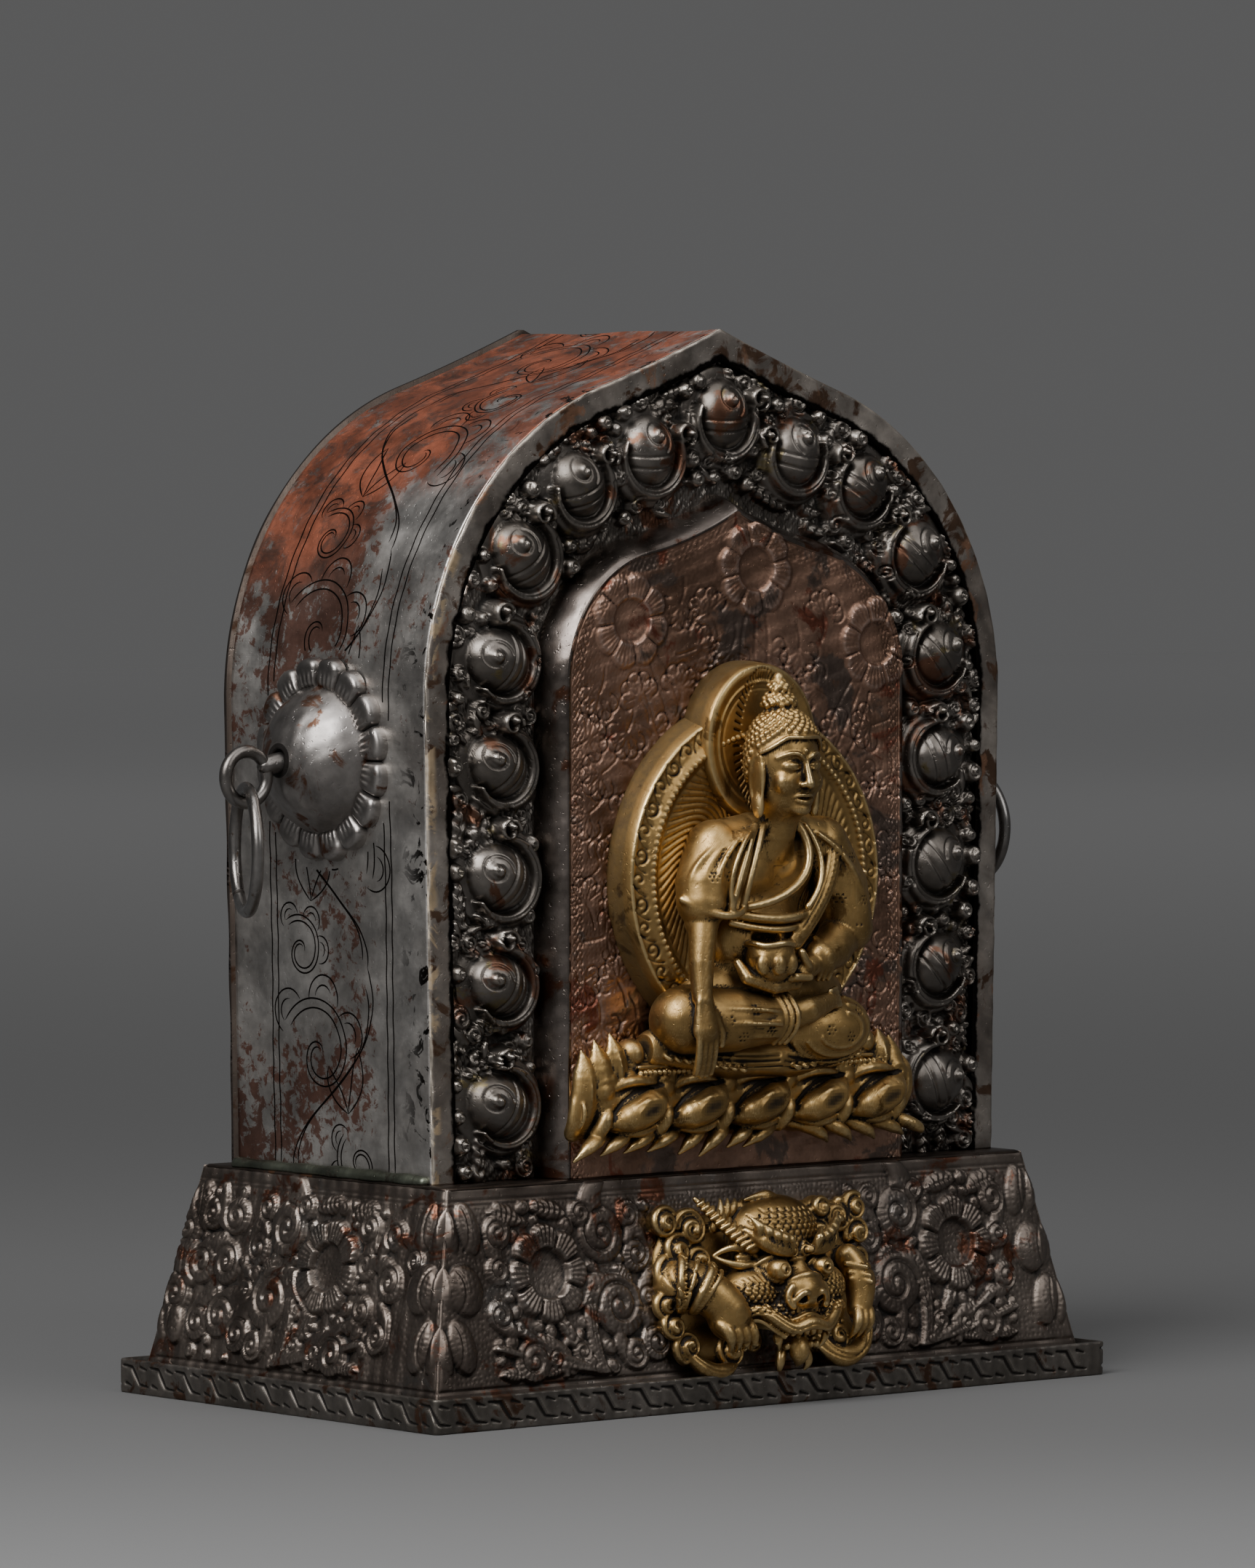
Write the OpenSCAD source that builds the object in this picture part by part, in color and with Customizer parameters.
// Arched shrine box on a flared plinth: sheet-metal body, repousse front, gilt reliefs,
// a ring handle on each side and a back cover that pulls straight off.
// X is to the right, the front faces -Y, Z is up; the origin is the middle of the base.

/* [Plinth] */
// Width of the upright strip round the foot
band_w = 172.5; // [170:0.5:176]
// Depth of the upright strip round the foot
band_d = 101.3; // [100:0.1:104]
// Height of the upright strip
band_h = 6.7; // [5:0.1:8]
// Width of the plinth walls where they meet the top of the strip
foot_w = 165; // [162:0.5:167]
// Depth of the plinth walls where they meet the top of the strip
foot_d = 92; // [90:0.5:95]
// Width of the deck on top of the plinth
deck_w = 148.4; // [148:0.2:151]
// Depth of the deck on top of the plinth
deck_d = 77.4; // [74:0.2:80]
// Height of the deck above the table
deck_z = 45.3; // [42:0.1:48]

/* [Body] */
// Height of the roof's peak above the table
peak_z = 210; // [208:0.5:213]
// Depth of the body from the front rim to the back cover
body_d = 63.2; // [61:0.1:66]
// How far the body stands in front of the plinth's middle
body_forward = 0.5; // [0:0.1:1]
// Radius of the two shoulders of the arch
shoulder_r = 63.7; // [63:0.1:65]
// Distance of each shoulder's centre from the middle
shoulder_x = 10; // [9:0.1:10.5]
// Height of the shoulders' centres
spring_z = 138; // [136:0.5:140]
// Outward lean of the side walls, in degrees
wall_lean = 1.05; // [0.5:0.05:1.3]
// Thickness of the sheet
sheet_t = 0.8; // [0.6:0.1:1]

/* [Front] */
// Width of the flat rim round the front
rim_w = 5.7; // [5:0.1:6.5]
// How far the border ground lies behind the rim's face
ground_back = 2; // [1:0.1:3]
// How far the centre panel stands in front of the rim's face
panel_proud = 5; // [4:0.1:6]
// Half width of the centre panel's flat face
panel_half_w = 43; // [41:0.1:44]
// Radius of the centre panel's shoulders
panel_r = 26; // [25:0.5:27]
// Height of the centre panel's peak
panel_peak_z = 174.6; // [174:0.1:176]
// Width of the sloping flank round the centre panel
flank_w = 2.8; // [2:0.1:3.2]
// Radius of each border boss
boss_r = 8; // [7:0.1:8.4]
// How far each border boss stands off the border ground
boss_rise = 7; // [5:0.1:8]

/* [Reliefs] */
// Half width of the oval behind the seated figure
mandorla_half_w = 33.2; // [32:0.1:35]
// Half height of the oval behind the seated figure
mandorla_half_h = 34; // [33:0.1:36]
// Half width of the oval behind the head
halo_half_w = 14.5; // [13:0.1:15]
// Half height of the oval behind the head
halo_half_h = 16; // [15:0.1:17]
// Half width of the lotus base
lotus_half_w = 43; // [42:0.1:44]
// Half width of the guardian mask on the plinth
mask_half_w = 28.5; // [27:0.1:30]

/* [Handles] */
// Height of the handle boss above the table
handle_z = 126.2; // [124:0.1:128]
// Outer radius of the ring of petals
petal_ring_r = 20.2; // [19:0.1:21]
// Outer radius of the plain dome
dome_r = 15.4; // [15:0.1:16]
// How far the dome's tip stands out from the side wall
dome_rise = 11.9; // [11:0.1:12.2]
// Radius of the eye's wire
eye_wire_r = 1.3; // [1.1:0.05:1.4]
// Radius of the eye, to the middle of its wire
eye_r = 4.95; // [4.8:0.05:5.2]
// Radius of the hanging ring's wire
ring_wire_r = 1.25; // [1:0.05:1.3]
// Radius of the hanging ring, to the middle of its wire
ring_r = 11.9; // [11:0.1:12.5]
// Turn of the left hanging ring away from the side view, in degrees
left_ring_turn = 26.4; // [0:0.1:35]
// Turn of the right hanging ring away from the side view, in degrees
right_ring_turn = 6; // [0:0.1:35]
// Radius of the eye's shank in the dome
shank_r = 2.2; // [2:0.05:2.4]

/* [Back cover] */
// How far the cover's edge stands proud of the roof
cover_proud = 0.9; // [0.5:0.1:1.2]
// Depth of the cover's lip inside the body
lip_d = 6; // [4:0.5:8]
// Gap all round between the lip and the body
lip_gap = 0.35; // [0.3:0.05:0.5]

/* [Hidden] */
$fn = 64;
rise_a = 71;          // where the outer shoulder turns into the hollow roof line
panel_rise_a = 78;    // the same on the centre panel
panel_r_x = panel_half_w - panel_r;
panel_r_z = 141;
roof_k = 1.095;       // vertical drop of the roof line for each unit of inset
front_y = -body_d / 2 - body_forward;
back_y = front_y + body_d;
ground_y = front_y + ground_back;
panel_y = front_y - panel_proud;
wall_back_y = back_y - 1.3;
cover_t = 1;
mitre_out = 4;        // how far the mitre cut runs outside the foot, in wall runs
mitre_in = 1.6;       // how far it runs inside
deck_run_x = (foot_w - deck_w) / 2 / (deck_z - band_h);
deck_run_y = (foot_d - deck_d) / 2 / (deck_z - band_h);
wall_top_z = deck_z - sheet_t;
front_tilt = atan(deck_run_y);
boss_column_x = 56.4;
boss_column_z = [60, 83.2, 104, 125.2, 145.6];
boss_arch = [[50.6, 165.8], [36.4, 179.2], [18.8, 185.8]];
boss_peak_z = 193;
wall_x = shoulder_x + shoulder_r - (spring_z - handle_z) * tan(wall_lean);
dome_tip_x = wall_x + dome_rise;
eye_x = dome_tip_x + 7.2;
eye_z = handle_z - 3.1;
hang_gap = 0.3;
ring_z = eye_z - eye_r + eye_wire_r + hang_gap + ring_wire_r - ring_r;
shank_gap = 0.08;
washer_t = 1.2;
washer_r = 5;
collar_t = 1.2;
petal_count = 16;
mandorla_z = 103;
mandorla_proud = 5;
halo_z = 129;
halo_proud = 8;
lotus_z = 58;         // middle height of the front petals
lotus_top_z = 73;
lotus_foot_z = 50;
petal_step = 15.5;
petal_ball_r = 7.2;
relief_sink = 2.2;    // how far the petals' centres stand in front of the panel
mask_x = 2.5;
mask_z = 23.5;
mask_half_h = 15.6;
leg_drop = 4.2;       // how far inside the wall the eye's legs are spread
leg_r = 1.1;
leg_l = 10;
neck_r = 1.7;
petal_r = 3.9;
petal_sink = 1.1;     // how far the petals' centres lie behind the wall
solder_run = 2.6;

// Stands a flat outline upright, filling the space from y0 back to y1.
module upright(y0, y1) {
  translate([0, y1, 0]) rotate([90, 0, 0]) linear_extrude(y1 - y0) children();
}

// Half of the arch outline as its corner points: foot, end of wall, end of shoulder, peak.
function arch_points(r, cx, cz, peak, rise, lean, foot) = [
  [cx + r * cos(lean) - (cz - r * sin(lean) - foot) * tan(lean), foot],
  [cx + r * cos(lean), cz - r * sin(lean)],
  [cx + r * cos(rise), cz + r * sin(rise)],
  [0, peak]
];

// Arch with leaning walls, round shoulders and a hollow roof line running up to a peak.
module arch(r, cx, cz, peak, rise, lean, foot) {
  half = arch_points(r, cx, cz, peak, rise, lean, foot);
  tx = half[2][0];
  tz = half[2][1] - peak;
  hollow_r = -(tx * tx + tz * tz) / (2 * (tx * cos(rise) + tz * sin(rise)));
  difference() {
    union() {
      polygon(concat(half, [for (i = [2:-1:0]) [-half[i][0], half[i][1]]]));
      for (s = [-1, 1]) translate([s * cx, cz]) circle(r, $fn = 128);
    }
    for (s = [-1, 1])
      translate([s * (cx + (r + hollow_r) * cos(rise)), cz + (r + hollow_r) * sin(rise)])
        circle(hollow_r, $fn = 256);
  }
}

// The body's outline moved inwards all round.
module body_arch(inset, foot = deck_z) {
  arch(shoulder_r - inset, shoulder_x, spring_z, peak_z - inset * roof_k, rise_a,
       wall_lean, foot);
}

// The centre panel's outline moved outwards all round.
module panel_arch(outset) {
  arch(panel_r + outset, panel_r_x, panel_r_z, panel_peak_z + outset * roof_k, panel_rise_a,
       0, deck_z);
}

// Flat ellipse with half width a and half height b.
module ellipse(a, b) {
  steps = 60;
  polygon([for (i = [0:steps - 1]) [a * cos(360 * i / steps), b * sin(360 * i / steps)]]);
}

// Places a child on the side wall: its +Z points straight out of the wall (side 1 right, -1 left).
module on_side(side, x) {
  translate([side * x, 0, handle_z]) rotate([0, side * 90, 0]) children();
}

// ---- plinth ----

// Solid block with flat sloping sides, moved inwards by inset, between two heights.
module plinth_block(inset, z0, z1) {
  function half_x(z) = deck_w / 2 + (deck_z - z) * deck_run_x - inset;
  function half_y(z) = deck_d / 2 + (deck_z - z) * deck_run_y - inset;
  intersection() {
    upright(-foot_d, foot_d)
      polygon([[-half_x(z0), z0], [half_x(z0), z0], [half_x(z1), z1], [-half_x(z1), z1]]);
    rotate([0, 0, 90]) upright(-foot_w, foot_w)
      polygon([[-half_y(z0), z0], [half_y(z0), z0], [half_y(z1), z1], [-half_y(z1), z1]]);
  }
}

// Point on the line of the mitred corner, this many wall runs outside the foot's own corner.
function mitre(runs) = [
  foot_w / 2 + runs * (foot_w - deck_w) / 2,
  foot_d / 2 + runs * (foot_d - deck_d) / 2
];

// Plan of the front wall's share of the plinth, cut along the two mitred corners.
module front_share() {
  far = mitre(mitre_out);
  near = mitre(-mitre_in);
  polygon([-far, [far[0], -far[1]], [near[0], -near[1]], -near]);
}

// Plan of the left wall's share of the plinth.
module side_share() {
  far = mitre(mitre_out);
  near = mitre(-mitre_in);
  polygon([-far, -near, [-near[0], near[1]], [-far[0], far[1]]]);
}

// One sheet wall of the plinth, cut out by the plan given as its child.
module plinth_wall() {
  intersection() {
    difference() {
      plinth_block(0, sheet_t, wall_top_z);
      plinth_block(sheet_t, -1, deck_z + 1);
    }
    linear_extrude(deck_z) children();
  }
}

module base_plate() {
  color("#5c5148")
    translate([-band_w / 2 + sheet_t, -band_d / 2 + sheet_t, 0])
      cube([band_w - 2 * sheet_t, band_d - 2 * sheet_t, sheet_t]);
}

module fret_band() {
  color("#77706a") linear_extrude(band_h) difference() {
    square([band_w, band_d], center = true);
    square([band_w - 2 * sheet_t, band_d - 2 * sheet_t], center = true);
  }
}

module plinth_front() { color("#5a4a42") plinth_wall() front_share(); }
module plinth_back() { color("#5a4a42") mirror([0, 1, 0]) plinth_wall() front_share(); }
module plinth_left() { color("#5f5048") plinth_wall() side_share(); }
module plinth_right() { color("#5f5048") mirror([1, 0, 0]) plinth_wall() side_share(); }

module plinth_deck() {
  color("#4e4540")
    translate([-deck_w / 2, -deck_d / 2, wall_top_z]) cube([deck_w, deck_d, sheet_t]);
}

// Solder run in the corner between each side wall and the deck.
module solder_fillets() {
  foot_x = arch_points(shoulder_r, shoulder_x, spring_z, peak_z, rise_a, wall_lean,
                       deck_z)[0][0];
  color("#5d6358") for (s = [0, 1]) mirror([s, 0, 0])
    upright(front_y + 2, wall_back_y) difference() {
      polygon([[foot_x - 0.3, deck_z], [foot_x + solder_run, deck_z], [foot_x - 0.3, deck_z + solder_run]]);
      body_arch(0);
    }
}

// ---- body ----

module side_wall() {
  color("#8d8480") difference() {
    upright(front_y + sheet_t, wall_back_y) difference() {
      body_arch(0);
      body_arch(sheet_t, deck_z - 5);
    }
    for (s = [-1, 1]) on_side(s, wall_x - 10) cylinder(h = 20, r = shank_r + 0.5);
  }
}

module front_rim() {
  color("#8a837c") upright(front_y, front_y + sheet_t) difference() {
    body_arch(0);
    body_arch(rim_w, deck_z - 5);
  }
}

// Calls its child at the middle of every boss on the border.
module at_each_boss() {
  for (s = [-1, 1]) {
    for (z = boss_column_z) translate([s * boss_column_x, ground_y, z]) children();
    for (p = boss_arch) translate([s * p[0], ground_y, p[1]]) children();
  }
  translate([0, ground_y, boss_peak_z]) children();
}

// Ground sheet of the border with a raised, hollow boss under each whorl.
module border_panel() {
  // a ball of this radius, sunk by boss_sink, meets the ground in a circle of boss_r
  ball_r = (boss_r * boss_r + boss_rise * boss_rise) / (2 * boss_rise);
  boss_sink = ball_r - boss_rise;
  color("#2f2d2e") difference() {
    union() {
      upright(ground_y, ground_y + sheet_t) difference() {
        body_arch(sheet_t);
        panel_arch(flank_w);
      }
      at_each_boss() translate([0, boss_sink, 0]) sphere(ball_r);
    }
    at_each_boss() translate([0, boss_sink, 0]) sphere(ball_r - sheet_t);
    translate([-band_w, ground_y + sheet_t, 0]) cube([2 * band_w, band_d, peak_z]);
    upright(panel_y - 5, ground_y + 5) panel_arch(flank_w);
  }
}

// Raised panel: a flat face with a rounded flank all round, stepped back in thin layers, and
// hollow behind.
module centre_panel() {
  layers = 6;
  rise = ground_y + sheet_t - panel_y;
  color("#4a2c22") difference() {
    for (i = [1:layers])
      upright(panel_y + rise * (1 - sqrt(1 - pow((i - 1) / layers, 2))), ground_y + sheet_t)
        panel_arch(flank_w * i / layers);
    upright(panel_y + sheet_t, ground_y + 5) panel_arch(-0.5);
  }
}

// ---- gilt reliefs ----

module mandorla_blank() {
  translate([0, 0, mandorla_z]) upright(panel_y - mandorla_proud, panel_y)
    ellipse(mandorla_half_w, mandorla_half_h);
}

module halo_blank() {
  translate([0, 0, halo_z]) upright(panel_y - halo_proud, panel_y)
    ellipse(halo_half_w, halo_half_h);
}

// Everything behind the centre panel's face.
module behind_panel() {
  upright(panel_y, front_y + body_d) translate([-body_d, 0]) square([2 * body_d, peak_z]);
}

// Bank of the lotus seat with its five swelling front petals.
module lotus_blank() {
  w = lotus_half_w;
  low = lotus_foot_z;
  top = lotus_top_z;
  upright(panel_y - mandorla_proud, panel_y)
    polygon([[4 - w, low], [w - 4, low], [w, low + 6], [w - 1, top - 7], [w - 8, top],
             [8 - w, top], [1 - w, top - 7], [-w, low + 6]]);
  difference() {
    for (i = [-2:2]) translate([i * petal_step, panel_y - relief_sink, lotus_z])
      sphere(petal_ball_r);
    behind_panel();
  }
}

// Oval plate behind the figure.
module mandorla() { color("#a8853f") mandorla_blank(); }

module head_halo() {
  color("#b08d45") difference() {
    halo_blank();
    mandorla_blank();
  }
}

module lotus_base() {
  color("#a8853f") difference() {
    lotus_blank();
    mandorla_blank();
  }
}

// A rounded limb between two points.
module limb(a, ra, b, rb) {
  hull() {
    translate(a) sphere(ra, $fn = 20);
    translate(b) sphere(rb, $fn = 20);
  }
}

// Cross-legged figure: head and chest in high relief, one hand over the knee, one in the lap.
module seated_figure() {
  color("#b8923f") difference() {
    union() {
      translate([0, panel_y - 14, 124]) sphere(7.6, $fn = 28);
      translate([0, panel_y - 11, 135]) sphere(4, $fn = 20);
      limb([0, panel_y - 9, 112], 9, [0, panel_y - 8, 84], 12);
      limb([-13, panel_y - 8, 108], 5.5, [-20, panel_y - 8, 92], 4.5);
      limb([-20, panel_y - 8.5, 91], 3.8, [-18, panel_y - 9.5, 68], 2.6);
      limb([13, panel_y - 8, 108], 5.5, [19, panel_y - 8, 90], 4.6);
      limb([-20, panel_y - 6, 75], 6.4, [20, panel_y - 6, 75], 6.4);
    }
    behind_panel();
    mandorla_blank();
    halo_blank();
    lotus_blank();
  }
}

// Horned guardian mask on the plinth's front wall, with a ridge of curls at each side.
module guardian_mask() {
  lift = 5;
  color("#ac8840")
    translate([mask_x, -deck_d / 2 - (deck_z - mask_z) * deck_run_y, mask_z])
      rotate([-front_tilt, 0, 0]) difference() {
        union() {
          upright(-lift, 0) ellipse(mask_half_w, mask_half_h);
          translate([0, -1.5, 3]) sphere(12.6);
          limb([-5.5, -7, -1], 4.2, [5.5, -7, -1], 4.2);
          for (s = [-1, 1]) translate([s * 18, -1, -1]) sphere(7.4);
        }
        upright(0, 30) square([80, 80], center = true);
      }
}

// ---- handles ----

// Ring of round petals soldered flat on the side wall.
module petal_collar(side) {
  petal_at = petal_ring_r - sqrt(petal_r * petal_r - petal_sink * petal_sink);
  color("#7d7875") difference() {
    union() {
      on_side(side, wall_x - 1) cylinder(h = collar_t + 1, r = petal_at);
      for (i = [0:petal_count - 1])
        on_side(side, wall_x - petal_sink)
          rotate([0, 0, 360 * i / petal_count]) translate([petal_at, 0, 0]) sphere(petal_r);
    }
    upright(-body_d / 2, body_d / 2) body_arch(0);
    dome_ball(side, 0);
  }
}

// The ball whose outer part is the handle's dome, made smaller by inset.
module dome_ball(side, inset) {
  on_side(side, dome_tip_x - dome_r) sphere(dome_r - inset, $fn = 96);
}

// Hollow dome inside the ring of petals, with the eye's hole in its tip.
module dome(side) {
  color("#9b9794") difference() {
    dome_ball(side, 0);
    dome_ball(side, sheet_t);
    upright(-body_d / 2, body_d / 2) body_arch(0);
    on_side(side, wall_x) cylinder(h = 30, r = shank_r + shank_gap);
  }
}

// Washer inside the wall, under the eye's spread legs.
module washer(side) {
  inner_x = wall_x - sheet_t - (washer_r * tan(wall_lean));
  color("#6f6a66") on_side(side, inner_x - washer_t) difference() {
    cylinder(h = washer_t, r = washer_r);
    translate([0, 0, -1]) cylinder(h = washer_t + 2, r = shank_r + shank_gap);
  }
}

// Split-pin eye: a wire loop outside the dome, a round shank and two legs spread inside.
module eye(side) {
  leg_x = wall_x - leg_drop;
  drop = eye_z - handle_z;
  reach = eye_x - dome_tip_x;
  neck_a = atan2(-drop, reach);
  neck_l = sqrt(drop * drop + reach * reach) - eye_r;
  color("#8b8988") {
    translate([side * eye_x, 0, eye_z]) rotate([90, 0, 0])
      rotate_extrude($fn = 64) translate([eye_r, 0]) circle(eye_wire_r, $fn = 24);
    on_side(side, leg_x) cylinder(h = dome_tip_x - leg_x, r = shank_r);
    on_side(side, dome_tip_x) rotate([0, side * neck_a, 0]) cylinder(h = neck_l, r = neck_r);
    on_side(side, dome_tip_x) sphere(shank_r);
    translate([side * leg_x, 0, handle_z - leg_l / 2]) cylinder(h = leg_l, r = leg_r);
  }
}

// Round split ring hanging in the eye, with a narrow cut in its lower half.
module hanging_ring(side, turn) {
  cut = 0.5;
  color("#918f8e")
    translate([side * eye_x, 0, ring_z]) rotate([0, 0, 90 + side * turn])
      rotate([90, 0, 0]) difference() {
        rotate_extrude($fn = 96) translate([ring_r, 0]) circle(ring_wire_r, $fn = 24);
        rotate([0, 0, -50]) translate([0, -cut / 2, -5]) cube([2 * ring_r, cut, 10]);
      }
}

// ---- back ----

// Cover plate with a lip that slides into the open back of the body.
module back_cover() {
  inset = sheet_t + lip_gap;
  foot = deck_z + lip_gap;
  color("#6d625b") {
    upright(back_y - cover_t, back_y) body_arch(-cover_proud, foot);
    upright(back_y - cover_t - lip_d, back_y - cover_t) difference() {
      body_arch(inset, foot);
      body_arch(inset + sheet_t, foot + sheet_t);
    }
  }
}

base_plate();
fret_band();
plinth_front();
plinth_back();
plinth_left();
plinth_right();
plinth_deck();
solder_fillets();
side_wall();
front_rim();
border_panel();
centre_panel();
mandorla();
head_halo();
seated_figure();
lotus_base();
guardian_mask();
petal_collar(-1);  // left_petal_collar
petal_collar(1);  // right_petal_collar
dome(-1);  // left_dome
dome(1);  // right_dome
washer(-1);  // left_washer
washer(1);  // right_washer
eye(-1);  // left_eye
eye(1);  // right_eye
hanging_ring(-1, left_ring_turn);  // left_ring
hanging_ring(1, right_ring_turn);  // right_ring
back_cover();
